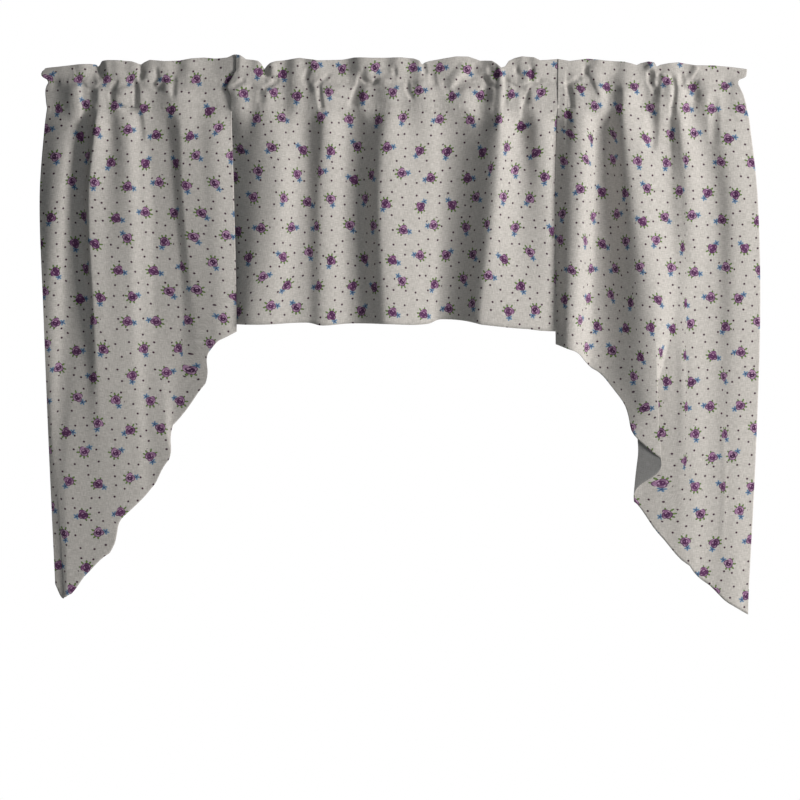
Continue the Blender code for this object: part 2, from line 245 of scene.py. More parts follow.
def swell(row, u):
    """How far the cloth over u stands out in the frill's or the pocket's row."""
    places, values = zip(*row)
    return SWELL * sum(w * smooth_row(places, values, u + d) for d, w in SOFTENING)


TURN = 2.0 * math.pi
Wave = namedtuple("Wave", "height length waver over start")
PUCKER_WAVES = (
    Wave(0.45, 7.3, 1.7, 31.0, 0.0),
    Wave(0.35, 11.9, 2.1, 47.0, 0.6),
    Wave(0.20, 5.1, 0.0, 31.0, 0.9),
)


def wave(shape, u):
    """A wave along the rod whose length wavers."""
    waver = shape.waver * math.sin(u / shape.over)
    return shape.height * math.sin(u * TURN / shape.length + waver + shape.start)


def puckers(u):
    """The fine, uneven puckers along a row of stitches, from -1 to 1."""
    return sum(wave(shape, u) for shape in PUCKER_WAVES)


# %% [markdown]
# ## The panels
# A thread of the cloth leaves the pocket at u and hangs down. At each height it lies between the
# two fold lines beside it. Across the folds the cloth turns roundly at each crest and valley, and
# where a line runs past its neighbour the same curve doubles the cloth into a real overlap. The
# rod holds the cloth forward at the top, and it falls back from there over a few centimetres.

# %% Panel drape
FULLNESS = 1.35
POCKET_HALF = 22.0
GATHER_END = -105.0
LOWER_SEAM_PUFF = 0.85
STAND = 10.0
STAND_BELOW, STAND_ABOVE = 38.0, 22.0
SHORTEST_STEP = 1e-6


def stand(z):
    """How far the rod holds the cloth forward at the heights z."""
    return STAND * np.exp(-(z / np.where(z < 0.0, STAND_BELOW, STAND_ABOVE)) ** 2)


def fold_points(folds, z):
    """Each fold line's x and out at the heights z."""
    return np.array([[along_height(f.x, z), along_height(f.out, z)] for f in folds])


def fold_directions(points):
    """Which way the cloth heads at each fold line, at each height."""
    steps = points[1:] - points[:-1]
    steps = steps / np.maximum(np.hypot(steps[:, 0], steps[:, 1])[:, None], SHORTEST_STEP)
    directions = np.empty_like(points)
    directions[0], directions[-1] = steps[0], steps[-1]
    outward = level_mean(steps[:-1, 1], steps[1:, 1])
    directions[1:-1, 1] = outward
    directions[1:-1, 0] = np.sqrt(1.0 - outward ** 2)
    return directions


def fold_index(folds, u):
    """The fold line just left of u on the seam, and u's share of the way to the next."""
    seam = [f.x[0] for f in folds]
    i = max([k for k in range(len(folds) - 1) if u >= seam[k]], default=0)
    return i, (u - seam[i]) / (seam[i + 1] - seam[i])


def gather_share(z):
    """How strongly the gathers still show at the heights z under the pocket."""
    fallen = np.clip((-POCKET_HALF - z) / (-POCKET_HALF - GATHER_END), 0.0, 1.0)
    return LOWER_SEAM_PUFF * (1.0 - fallen) ** 2 * (1.0 + fallen)


def hem_height(folds, u):
    """The height of the hem on the thread that leaves the pocket at u."""
    return smooth_row([f.x[0] for f in folds], [f.hem for f in folds], u)


def panel_thread(folds, u, z):
    """Where the thread that leaves the pocket at u lies, at the heights z: x and out."""
    i, t = fold_index(folds, u)
    points = fold_points(folds, z)
    directions = fold_directions(points)
    first, second = points[i], points[i + 1]
    reach = np.hypot(second[0] - first[0], second[1] - first[1])
    turn = ease((-POCKET_HALF - z) / POCKET_HALF)
    leave = reach * between(1.0, FULLNESS * folds[i].curl, turn)
    arrive = reach * between(1.0, FULLNESS * folds[i + 1].curl, turn)
    x = hermite(first[0], second[0], directions[i][0] * leave, directions[i + 1][0] * arrive, t)
    out = hermite(first[1], second[1], directions[i][1] * leave, directions[i + 1][1] * arrive, t)
    return x, out + swell(POCKET_ROW, u) * gather_share(z) + stand(z)


# %% [markdown]
# ## The heading
# Above the lower stitches the cloth goes on up the pocket's front wall and the frill, turns over at
# the frill's edge and comes down the back to the lower stitches again. The two layers meet at each
# row of stitches and stand apart in the pocket, where the rod goes through. The frill's edge and
# the outer ends are uneven, so each has a table of its own.

# %% Heading outline
EDGE = (
    (-595, 42.2), (-583, 44.7), (-563, 46.4), (-533, 49.7), (-513, 50.6), (-503, 49.7), (-500, 46.4),
    (-497, 49.7), (-493, 55.6), (-483, 56.8), (-463, 56.4), (-443, 54.7), (-428, 49.7), (-423, 53.1),
    (-413, 57.3), (-403, 56.4), (-388, 55.1), (-363, 56.4), (-343, 59.8), (-323, 61.4), (-303, 59.8),
    (-283, 61.4), (-278, 63.9), (-272, 66.5), (-262, 64.8), (-252, 58.1), (-242, 57.4), (-232, 55.6),
    (-226, 49.7), (-222, 42.2), (-217, 48.1), (-212, 52.2), (-202, 55.4), (-192, 56.4), (-162, 60.6),
    (-132, 56.4), (-92, 58.1), (-72, 61.4), (-42, 60.6), (8, 61.4), (28, 59.8), (37, 56.4), (42, 49.7),
    (47, 53.1), (55, 55.6), (79, 59.8), (99, 63.1), (119, 63.1), (129, 60.1), (139, 56.4), (149, 56.4),
    (159, 55.6), (167, 50.6), (174, 43.9), (181, 46.4), (187, 55.6), (197, 60.4), (209, 63.1),
    (229, 61.4), (239, 56.4), (252, 57.3), (269, 58.9), (289, 55.6), (319, 59.8), (349, 56.4),
    (379, 54.7), (393, 51.4), (401, 48.9), (408, 52.2), (420, 54.7), (430, 53.1), (434, 45.6),
    (440, 48.9), (453, 51.4), (470, 53.1), (500, 48.1), (530, 48.1), (560, 45.6), (580, 43.0),
    (588, 41.4),
)
Side = namedtuple("Side", "shape out")
OUTER_LEFT = Side(((-22, 0), (-17, -0.9), (-9, -1.8), (0, -2.6), (8, -2.6), (15, -0.9), (20, 1.6),
                   (23, 1.2), (26, -0.5), (29, -6.5), (32, -9.6), (36, -10), (40, -8), (43, -4)), 0.0)
OUTER_RIGHT = Side(((-22, 2), (-16, 1), (-9, -1), (0, -3.8), (9, -8), (17, -11.6), (23, -11.6),
                    (26, -9), (28, -2), (31, 2), (38, 3), (42, 3.4)), 0.0)
OVER_LEFT = Side(((-22, -2), (-9, -1), (-2, -1.3), (5, -5), (11, -8), (20, -5), (28, 0.3), (35, 3.5),
                  (41, 7), (58, 7)), 1.6)
UNDER_RIGHT = Side(((-22, 1.5), (-9, 5), (11, 5), (35, 12), (58, 14)), -0.8)
HEMMED_LEFT = Side(((-22, -2), (0, -2.5), (30, -2), (58, -1.5)), 0.2)
TUCKED_RIGHT = Side(((-22, 1), (-9, 3), (11, 4), (58, 4)), -1.0)
SIDE_REACH = 26.0

Piece = namedtuple("Piece", "folds start end")
LEFT_SWAG = Piece(LEFT_FOLDS, OUTER_LEFT, UNDER_RIGHT)
CENTRE_VALANCE = Piece(CENTRE_FOLDS, OVER_LEFT, TUCKED_RIGHT)
RIGHT_SWAG = Piece(RIGHT_FOLDS, HEMMED_LEFT, OUTER_RIGHT)


def side_pull(piece, u, z):
    """How the heading is drawn sideways and outwards near the piece's two ends."""
    pull_x, pull_out = 0.0, 0.0
    ends = ((piece.start, u - piece.folds[0].x[0]), (piece.end, piece.folds[-1].x[0] - u))
    for side, gone in ends:
        near = ease(1.0 - gone / SIDE_REACH)
        heights, shifts = zip(*side.shape)
        pull_x = pull_x + near * np.interp(z, heights, shifts)
        pull_out = pull_out + near * side.out * ease((z + POCKET_HALF) / POCKET_HALF)
    return pull_x, pull_out


# %% Heading layers
UPPER_SEAM_PUFF = 0.42
FRILL_RISE = 1.6
BACK_WALL = 9.5
BACK_PUFF = 0.5
LAYER_HALF = 0.7
POCKET_ROUND = 2.4
PUCKER = 0.4
PUCKER_REACH = 5.0
PUFF_RISE = 3.0
PINCH = 2.6
PINCH_REACH = 4.5
PINCH_LINE = POCKET_HALF - 2.0
PINCH_WANDER = Wave(2.2, 23.0 * TURN, 1.3, 61.0, 0.0)
PINCH_CHANGE = Wave(0.45, 17.0 * TURN, 2.0, 41.0, 0.4)


def pinch(u, z):
    """How deep the crease along the upper stitches is: it wanders up and down and changes in depth."""
    seam = PINCH_LINE + wave(PINCH_WANDER, u)
    depth = 1.0 - PINCH_CHANGE.height + wave(PINCH_CHANGE, u)
    return PINCH * depth / (1.0 + ((z - seam) / PINCH_REACH) ** 2)


def heading_thread(piece, u, z, top, side):
    """The heading's front (side 1) or back (side -1) layer over u at the heights z: x and out."""
    frill, puff = swell(FRILL_ROW, u), swell(POCKET_ROW, u)
    climb = np.clip((z - POCKET_HALF) / (top - POCKET_HALF), 0.0, 1.0)
    level = np.clip((z + POCKET_HALF) / (2.0 * POCKET_HALF), 0.0, 1.0)
    seam = UPPER_SEAM_PUFF * (puff + frill)
    pillow = between(LOWER_SEAM_PUFF, 1.0, ease(PUFF_RISE * level)) * puff
    below = between(pillow, seam, ease(2.0 * level - 1.0))
    above = between(seam, frill, ease(FRILL_RISE * climb))
    front = stand(z) + np.where(z > POCKET_HALF, above, below) - pinch(u, z)
    bulge = (1.0 - np.abs(2.0 * level - 1.0) ** POCKET_ROUND) ** (1.0 / POCKET_ROUND)
    back = between(front, BACK_PUFF * puff - BACK_WALL, bulge)
    out = (front if side > 0 else back) + side * LAYER_HALF
    for stitches in (-POCKET_HALF, POCKET_HALF):
        out = out + PUCKER * puckers(u + stitches) * np.exp(-np.abs(z - stitches) / PUCKER_REACH)
    pull_x, pull_out = side_pull(piece, u, z)
    return u + pull_x, out + pull_out


# %% [markdown]
# ## Creases placed one by one
# Gathers alone look like machine pleats. In the real heading the frill flops over the stitches in
# rolled lips, the pocket swells in pillows, and sharp creases run between them at all angles. Each
# is one row: the line it follows, how far it reaches on either side, and its height, which is
# negative for a trough. A ridge with one short side is a lip, and it is pushed over that side.
# Where the hem swings out in a lobe, a nudge moves the cloth around one point sideways.

# %% Crease table
Crease = namedtuple("Crease", "path minus plus rise")
CREASES = [Crease(*row) for row in (
    (((-572, 26), (-568, 11)), 12, 10.8, -2.1),
    (((-523, 26), (-515, 16), (-505, 15), (-496, 23)), 7, 16.6, 3.2),
    (((-500, 53), (-498, 41), (-493, 26)), 7, 15, -4),
    (((-454, 13), (-452, -4)), 18, 16.8, 4.7),
    (((-468, 25), (-475, 6), (-475, -15)), 8.2, 7.3, -2.9),
    (((-440, 25), (-435, 5), (-435, -22)), 8.2, 7.3, -3.9),
    (((-468, -15), (-451, -25), (-438, -20)), 8.4, 4.8, -2.6),
    (((-430, 51), (-426, 38), (-430, 23)), 7.2, 6, -3.1),
    (((-418, 38), (-416, 26)), 9.6, 9.6, 2.6),
    (((-403, 45), (-401, 28), (-410, 18)), 6.5, 6.5, -2.9),
    (((-411, 18), (-400, 10), (-393, 16)), 7.3, 5.6, -2.9),
    (((-384, 21), (-384, 3)), 9.6, 10.8, 3.1),
    (((-374, 31), (-373, -5)), 6.5, 8.2, -2.9),
    (((-268, 66), (-269, 40)), 7.5, 6.5, -1.5),
    (((-254, 26), (-264, 18), (-274, 11)), 6.5, 6.5, -2.5),
    (((-246, 45), (-244, 25)), 15.6, 16.8, 2.6),
    (((-262, 3), (-244, 10), (-224, 6)), 12.4, 7.4, -2.6),
    (((-222, 48), (-216, 31), (-202, 25)), 7.2, 6, -3.5),
    (((-209, 46), (-204, 35)), 9.6, 9.6, 2.1),
    (((-197, 28), (-212, 15), (-224, 8)), 6.5, 8.2, -3.4),
    (((-147, 45), (-154, 26), (-145, 8)), 8.2, 8.2, -2.5),
    (((-137, 16), (-136, 1)), 9.6, 9.6, 2.6),
    (((-112, 35), (-125, 23), (-137, 11)), 6.5, 6.5, -2.5),
    (((-130, 15), (-128, -4), (-125, -25)), 7.3, 5.6, -3.2),
    (((-92, 15), (-99, -5)), 28.8, 28.8, 3.1),
    (((-60, 35), (-65, 15), (-72, 0), (-79, -19)), 7, 18, -4),
    (((-59, 33), (-52, 21), (-42, 18), (-32, 26)), 6.5, 6.5, -3.4),
    (((-48, 46), (-47, 31)), 9.6, 9.6, 2.6),
    (((-22, 28), (-23, 13)), 16.8, 15.6, 3.6),
    (((43, 55), (48, 31)), 7.2, 7.2, -3.1),
    (((17, 21), (18, 5), (27, -9)), 7.3, 6.5, -2.9),
    (((57, 38), (62, 13)), 9.6, 9.6, -3.1),
    (((38, 23), (40, 11)), 12, 12, 2.1),
    (((77, 21), (89, 0)), 9.6, 9.6, -2.1),
    (((135, 51), (120, 35), (107, 21), (92, 5)), 8.3, 16.6, -3.6),
    (((115, 51), (102, 35), (89, 18)), 12, 9.6, 3.1),
    (((119, 28), (135, 31), (152, 30)), 7.2, 5.4, -3.1),
    (((134, 18), (134, -2)), 15.6, 14.4, 3.1),
    (((145, 31), (152, 18), (169, 10)), 6, 7.2, -3.1),
    (((164, 48), (165, 23)), 8.2, 6.5, -2.9),
    (((172, 45), (174, 16), (172, -17), (170, -59)), 9.6, 7.2, 2.7),
    (((181, 36), (182, 8), (179, -22)), 6.5, 8.2, -2.5),
    (((187, 26), (202, 18), (216, 23), (219, 40)), 6.2, 15, 2.9),
    (((221, 26), (229, 20), (244, 26)), 7.3, 6.5, -2.9),
    (((219, 20), (212, 3), (204, -14), (201, -41)), 17.9, 7.4, 3.5),
    (((279, 15), (293, 21), (308, 31)), 7.3, 6.5, -3.4),
    (((284, 15), (289, -2), (291, -25)), 4.8, 8.4, -2.9),
    (((316, 51), (313, 30)), 6, 8.4, -2.6),
    (((319, 48), (328, 31), (336, 11), (343, -5)), 8.3, 18, 3.1),
    (((421, 51), (425, 43)), 10.8, 8.4, 3.9),
    (((423, 41), (425, 26)), 8.2, 8.2, -4.8),
    (((420, 28), (428, 11), (435, 0)), 7.3, 6.5, -3.4),
    (((441, 35), (436, 18), (433, 5)), 6.5, 6.5, -2.9),
    (((436, 21), (443, 31), (453, 26), (456, 8), (455, -15)), 12.4, 7.4, 3.5),
    (((458, 33), (463, 11), (461, -12), (460, -36)), 7.3, 7.3, -3.9),
    (((475, 35), (476, 15), (488, 0)), 7.3, 6.5, -2.9),
    (((503, 48), (493, 31), (485, 18)), 9.6, 4.8, 2.2),
    (((483, 21), (505, 20)), 8.2, 6.5, -2.9),
    (((528, 0), (530, -40), (530, -80)), 12, 12, -3),
    (((543, 21), (573, 18)), 8.2, 7.3, -2.5),
    (((552, 11), (573, 6)), 7.3, 6.5, -1.4),
    (((284, 40), (284, 0), (284, -50), (282, -90)), 4, 11, -1.8),
    (((476, -418), (480, -544), (480, -677), (476, -778)), 12, 5, 1.6),
    (((426, -22), (427, -60), (424, -95)), 16, 13, -4.4),
    (((-536, 20), (-532, -10), (-534, -45)), 42, 9, 5.0),
    (((-507, 10), (-507, -16)), 11, 10, -3.3),
    (((-226, 8), (-227, -16)), 10, 10, -2.6),
    (((-431, -28), (-429, -52), (-427, -78)), 11, 9, -3.2),
    (((150, 22), (151, 4), (151, -12)), 12, 10, -3.4),
    (((200, 47), (201, 34)), 7, 6, -2.8),
    (((226, 47), (226, 32)), 7, 6, -3.0),
    (((-4, 46), (-3, 30)), 7, 6, -2.6),
    (((156, 47), (158, 34)), 8, 6, -3.2),
    (((214, 10), (215, -18)), 12, 11, -3.4),
    (((367, 14), (368, -18)), 12, 11, -3.6),
    (((430, 6), (429, -16)), 10, 10, -2.6),
    (((497, 10), (499, -14)), 11, 11, -2.8),
    (((545, -544), (548, -644), (543, -778)), 9, 7, 0.6),
    (((-585, -504), (-530, -500), (-450, -505)), 5, 4, -1.2),
    (((-570, -744), (-522, -743), (-475, -746)), 5, 4, -1.2),
)]
Nudge = namedtuple("Nudge", "x z reach sideways")
NUDGES = (
    Nudge(-321, -466, 22, 7),
    Nudge(-384, -598, 22, 6),
    Nudge(-460, -708, 17, -7),
    Nudge(-475, -753, 20, 6),
    Nudge(384, -512, 24, 6),
    Nudge(404, -565, 22, -8),
)
print(len(CREASES), "creases and", len(NUDGES), "nudges")

CREASE_FADE = 9.0
LONG_FADE = 0.22
MOST_FADE = 0.45
END_START = 0.35
LIP_PUSH = 0.45


# %% Pressing the creases in
def crease_reach(crease, x, z):
    """Each point's signed distance from a crease's line, its place along it, and the line's normal."""
    path = np.array(crease.path, float)
    nearest = np.full(x.shape, np.inf)
    signed = along = normal_x = normal_z = np.zeros(x.shape)
    gone = 0.0
    for (x0, z0), (x1, z1) in zip(path[:-1], path[1:]):
        length = math.hypot(x1 - x0, z1 - z0)
        dx, dz = (x1 - x0) / length, (z1 - z0) / length
        t = np.clip((x - x0) * dx + (z - z0) * dz, 0.0, length)
        away_x, away_z = x - (x0 + t * dx), z - (z0 + t * dz)
        distance = np.hypot(away_x, away_z)
        closer = distance < nearest
        side = np.sign(away_x * -dz + away_z * dx)
        nearest = np.where(closer, distance, nearest)
        signed = np.where(closer, side * distance, signed)
        along = np.where(closer, gone + t, along)
        normal_x, normal_z = np.where(closer, -dz, normal_x), np.where(closer, dx, normal_z)
        gone += length
    return signed, along, gone, normal_x, normal_z


def press_creases(x, out, z, share):
    """The points after all the creases are pressed in, each at its share of their height."""
    push_x, push_out, push_z = np.zeros((3,) + x.shape)
    for crease in CREASES:
        signed, along, length, normal_x, normal_z = crease_reach(crease, x, z)
        reach = np.where(signed < 0.0, crease.minus, crease.plus)
        profile = np.clip(1.0 - (signed / reach) ** 2, 0.0, 1.0) ** 2
        fade = min(max(CREASE_FADE, LONG_FADE * length), MOST_FADE * length)
        ends = ease((np.minimum(along, length - along) + END_START * fade) / fade)
        height = crease.rise * profile * ends * share
        push_out += height
        if crease.rise > 0:
            skew = (crease.minus - crease.plus) / (crease.minus + crease.plus)
            push_x += LIP_PUSH * skew * height * normal_x
            push_z += LIP_PUSH * skew * height * normal_z
    for nudge in NUDGES:
        away = np.hypot(x - nudge.x, z - nudge.z) / nudge.reach
        push_x += nudge.sideways * np.exp(-away ** 2)
    return x + push_x, out + push_out, z + push_z


# %% [markdown]
# ## Weaving one piece
# Each piece is a grid: columns are the threads that hang down, and rows run along the rod. The
# column starts at the lower stitches on the back, climbs over the frill and ends at the hem. The
# grid also carries the print: U is the width of cloth between the threads, and V its length.

# %% Sheet grid
THREAD_STEP = 1.6
BACK_POCKET_ROWS, BACK_FRILL_ROWS, FRILL_ROWS, POCKET_ROWS = 10, 6, 26, 30
EDGE_TURN = (40.0, 90.0, 140.0)
BACK_ROWS = BACK_POCKET_ROWS + BACK_FRILL_ROWS + 1
SEAM_ROW = BACK_ROWS + len(EDGE_TURN) + FRILL_ROWS + POCKET_ROWS
SWAG_ROWS, CENTRE_ROWS = 165, 60
CENTRE_ANCHOR = 170
CLOTH_THICKNESS = 0.6
BACK_FADE = 12.0
ROW_CROWDING = 1.12


def edge_height(piece, u):
    """The height of the frill's edge on the thread that leaves the pocket at u."""
    x = u + side_pull(piece, u, FRILL_TOP)[0]
    return float(np.interp(x, [e[0] for e in EDGE], [e[1] for e in EDGE]))


def weave_thread(piece, u, panel_rows):
    """One thread's points, from the lower stitches on the back over the frill to the hem."""
    top = edge_height(piece, u)
    runs = (
        (np.linspace(-POCKET_HALF, POCKET_HALF, BACK_POCKET_ROWS + 1), -1),
        (np.linspace(POCKET_HALF, top, BACK_FRILL_ROWS + 1)[1:], -1),
        (np.linspace(top, POCKET_HALF, FRILL_ROWS + 1), 1),
        (np.linspace(POCKET_HALF, -POCKET_HALF, POCKET_ROWS + 1)[1:], 1),
    )
    points = []
    for z, side in runs:
        x, out = heading_thread(piece, u, z, top, side)
        points += list(zip(x, out, z))
        if len(points) == BACK_ROWS:
            middle = out[-1] + LAYER_HALF
            for angle in np.radians(EDGE_TURN):
                points.append((x[-1], middle - LAYER_HALF * math.cos(angle),
                               top + LAYER_HALF * math.sin(angle)))
    share = (np.arange(1, panel_rows + 1) / panel_rows) ** ROW_CROWDING
    z = between(-POCKET_HALF, hem_height(piece.folds, u), share)
    x, out = panel_thread(piece.folds, u, z)
    shift = side_pull(piece, u, -POCKET_HALF)[0]
    settle = 1.0 - ease((-POCKET_HALF - z) / (2.0 * POCKET_HALF))
    out = out + LAYER_HALF - pinch(u, z) + PUCKER * puckers(u - POCKET_HALF) * np.exp(
        (z + POCKET_HALF) / PUCKER_REACH)
    points += list(zip(x + shift * settle, out, z))
    return np.array(points)


def weave_grid(piece, panel_rows):
    """All the threads of one piece: an array of threads by rows by (x, out, z)."""
    first, last = piece.folds[0].x[0], piece.folds[-1].x[0]
    places = np.linspace(first, last, round((last - first) / THREAD_STEP) + 1)
    grid = np.array([weave_thread(piece, float(u), panel_rows) for u in places])
    share = np.ones(grid.shape[:2])
    behind = slice(0, BACK_POCKET_ROWS + 1)
    share[:, behind] = ease((grid[:, behind, 2] - POCKET_HALF + BACK_FADE) / BACK_FADE)
    x, out, z = press_creases(grid[:, :, 0], grid[:, :, 1], grid[:, :, 2], share)
    return np.stack([x, out, z], axis=2)


# %% [markdown]
# The width between two threads changes from row to row, because a real cloth isn't pulled straight
# everywhere. U takes the mean of the rows around each row, so that the print keeps its size
# everywhere and still runs smoothly down the cloth. A few folds are nipped into tight tucks that
# are finer than the threads here, and the roses vanish into them: there U takes a few more
# millimetres of cloth.

# %% Print map
WIDTH_BLUR = 110.0

Tuck = namedtuple("Tuck", "path hides")
TUCKS = (
    Tuck(((-363, -60), (-363, -200), (-360, -330), (-357, -440), (-370, -500)), 9),
    Tuck(((-131, -60), (-131, -200), (-133, -360)), 8),
    Tuck(((-47, -80), (-47, -250), (-44, -360)), 6),
    Tuck(((157, -60), (156, -150), (146, -300)), 7),
    Tuck(((264, -60), (262, -200), (258, -300)), 6),
    Tuck(((392, -120), (394, -250), (396, -380), (400, -460)), 8),
    Tuck(((478, -60), (480, -300), (482, -520), (486, -740)), 11),
    Tuck(((545, -420), (548, -600), (544, -780)), 6),
)
TUCK_HALF = 3.2
TUCK_FADE = 70.0


def tuck_widths(x, z, across):
    """The width of cloth hidden in the tucks between two threads at x, z that lie across apart."""
    hidden = np.zeros(x.shape)
    for tuck in TUCKS:
        heights = np.array([place[1] for place in tuck.path], float)[::-1]
        line = np.interp(z, heights, [place[0] for place in tuck.path][::-1])
        ends = ease(np.minimum(z - heights[0], heights[-1] - z) / TUCK_FADE)
        bell = np.exp(-((x - line) / TUCK_HALF) ** 2) / (TUCK_HALF * math.sqrt(math.pi))
        hidden += tuck.hides * ends * bell * across
    return hidden


def cloth_lengths(grid):
    """V for each point: the length of cloth down its thread from the lower stitches."""
    steps = np.linalg.norm(np.diff(grid, axis=1), axis=2)
    down = np.concatenate([np.zeros((len(grid), 1)), np.cumsum(steps, axis=1)], axis=1)
    return down - down[:, SEAM_ROW:SEAM_ROW + 1]


def cloth_widths(grid, down, anchor):
    """U for each point: the width of cloth from the anchor thread, evened out along the rows."""
    steps = np.hypot(np.diff(grid[:, :, 0], axis=0), np.diff(grid[:, :, 1], axis=0))
    place = down.mean(axis=0)
    spacing = np.gradient(place)
    near = np.exp(-((place[:, None] - place[None, :]) / WIDTH_BLUR) ** 2) * spacing[None, :]
    steps = steps @ (near / near.sum(axis=1, keepdims=True)).T
    middle = (grid[1:] + grid[:-1]) / 2.0
    steps = steps + tuck_widths(middle[:, :, 0], middle[:, :, 2], np.abs(np.diff(grid[:, :, 0], axis=0)))
    across = np.concatenate([np.zeros((1, steps.shape[1])), np.cumsum(steps, axis=0)])
    return across - across[anchor]


def add_sheet(name, piece, panel_rows, anchor):
    """One piece of the valance as a sheet, with its print map measured from the anchor thread."""
    grid = weave_grid(piece, panel_rows)
    down = cloth_lengths(grid)
    across = cloth_widths(grid, down, anchor)
    threads, rows = grid.shape[:2]
    places = np.stack([grid[:, :, 0], -grid[:, :, 1], grid[:, :, 2]], axis=2).reshape(-1, 3) * MM
    corner = (np.arange(threads - 1)[:, None] * rows + np.arange(rows - 1)[None, :]).ravel()
    faces = np.stack([corner, corner + 1, corner + rows + 1, corner + rows], axis=1)
    mesh = bpy.data.meshes.new(name)
    mesh.from_pydata(places.tolist(), [], faces.tolist())
    uv = mesh.uv_layers.new(name="cloth")
    pairs = np.stack([across.ravel()[faces.ravel()], -down.ravel()[faces.ravel()]], axis=1) * MM
    uv.data.foreach_set("uv", pairs.astype(np.float32).ravel())
    mesh.shade_smooth()
    sheet = bpy.data.objects.new(name, mesh)
    bpy.context.scene.collection.objects.link(sheet)
    wall = sheet.modifiers.new("cloth", "SOLIDIFY")
    wall.thickness = CLOTH_THICKNESS * MM
    wall.offset = 0.0
    wall.material_offset = 1
    wall.material_offset_rim = 1
    print(name, "cut", np.round(np.ptp(across[:, SEAM_ROW:], axis=0).mean()), "mm wide,",
          np.round(down.max() - down.min()), "mm long,", len(faces), "faces")
    return sheet


left_piece = add_sheet("left_swag_cloth", LEFT_SWAG, SWAG_ROWS, 0)
centre_piece = add_sheet("centre_valance_cloth", CENTRE_VALANCE, CENTRE_ROWS, CENTRE_ANCHOR)
right_piece = add_sheet("right_swag_cloth", RIGHT_SWAG, SWAG_ROWS, -1)

# %% [markdown]
# ## The print
# A small all-over print of roses: staggered sprigs about 50 mm apart, each a rose with leaves and
# one blue flower, turned differently, with pin dots between them. It is worked out by nodes from
# the cloth's own U and V, so it follows every fold, as a real print does.

# %% Node helpers
def link_or_set(tree, socket, value):
    """Feed a socket from another socket, or set it to a number or a tuple."""
    if isinstance(value, bpy.types.NodeSocket):
        tree.links.new(value, socket)
    else:
        socket.default_value = value


def add_node(tree, kind, inputs, **settings):
    """A new node with its settings, and its inputs fed or set by their names or numbers."""
    node = tree.nodes.new("ShaderNode" + kind)
    for name, value in settings.items():
        setattr(node, name, value)
    for name, value in inputs.items():
        link_or_set(tree, node.inputs[name], value)
    return node


def do_math(tree, operation, *values):
    """A Math node's result."""
    return add_node(tree, "Math", dict(enumerate(values)), operation=operation).outputs[0]


def do_vector(tree, operation, *values):
    """A Vector Math node's result."""
    node = add_node(tree, "VectorMath", dict(enumerate(values)), operation=operation)
    return node.outputs["Value" if operation == "LENGTH" else "Vector"]


COLOUR_UNDER, COLOUR_OVER, COLOUR_RESULT = 6, 7, 2


def mix_colour(tree, share, under, over):
    """One colour laid over another by a share."""
    inputs = {"Factor": share, COLOUR_UNDER: under, COLOUR_OVER: over}
    return add_node(tree, "Mix", inputs, data_type="RGBA").outputs[COLOUR_RESULT]


def combine(tree, x, y, z=0.0):
    """A vector made of three values."""
    return add_node(tree, "CombineXYZ", {"X": x, "Y": y, "Z": z}).outputs[0]


def split(tree, vector):
    """A vector's X and Y."""
    node = add_node(tree, "SeparateXYZ", {0: vector})
    return node.outputs["X"], node.outputs["Y"]


def soft_inside(tree, distance, edge, blur):
    """1 where a distance is under the edge, 0 beyond it, with a narrow soft rim."""
    ends = {"Value": distance, "From Min": edge + blur, "From Max": edge - blur}
    return add_node(tree, "MapRange", ends).outputs["Result"]


def oval(tree, place, shape):
    """How far a place is from an oval's centre, where 1 is the oval's rim."""
    inputs = {
        "Vector": place, "Location": (shape.x, shape.y, 0),
        "Rotation": (0, 0, math.radians(shape.degrees)), "Scale": (shape.long, shape.wide, 1),
    }
    node = add_node(tree, "Mapping", inputs, vector_type="TEXTURE")
    return do_vector(tree, "LENGTH", node.outputs["Vector"])


# %% Inks and drawing, in millimetres
GROUND = (0.657, 0.63, 0.605, 1)
GROUND_DARK = (0.44, 0.42, 0.395, 1)
DARK_PURPLE = (0.048, 0.011, 0.052, 1)
PURPLE = (0.11, 0.031, 0.108, 1)
MAUVE = (0.225, 0.077, 0.21, 1)
PINK = (0.52, 0.30, 0.48, 1)
PALE_PINK = (0.68, 0.48, 0.66, 1)
LEAF = (0.21, 0.33, 0.075, 1)
LEAF_DARK = (0.07, 0.14, 0.03, 1)
BLUE = (0.035, 0.075, 0.18, 1)
PALE_BLUE = (0.15, 0.27, 0.42, 1)
DOT = (0.055, 0.020, 0.040, 1)

SPRIG_ACROSS, SPRIG_DOWN = 54.0, 45.0
SPRIG_WANDER = 18.0
DOT_PITCH = 20.0
DOT_RADIUS = 1.75
DOT_CLEAR = 13.0
DOT_SCATTER = 0.55
DOT_BLUR = 0.02

Oval = namedtuple("Oval", "x y long wide degrees ink")
PETALS = (
    Oval(0.2, -0.3, 7.0, 6.6, 0, PURPLE),
    Oval(3.0, -1.8, 4.6, 6.1, 14, MAUVE),
    Oval(-3.2, -2.4, 4.8, 4.9, -35, PURPLE),
    Oval(-1.2, 3.8, 6.0, 4.0, 16, PURPLE),
    Oval(5.2, 1.4, 1.1, 3.5, 22, PINK),
    Oval(2.2, -6.2, 3.2, 0.9, 16, PINK),
    Oval(-3.9, 4.6, 2.9, 0.9, 40, PINK),
    Oval(-5.6, -2.6, 0.8, 2.4, -14, PINK),
    Oval(-0.2, 0.0, 4.6, 4.1, 25, DARK_PURPLE),
    Oval(1.2, -1.2, 2.6, 2.2, 30, PINK),
    Oval(-0.2, 0.3, 2.8, 2.0, 50, DARK_PURPLE),
    Oval(-1.0, 1.4, 1.5, 0.8, 60, MAUVE),
)
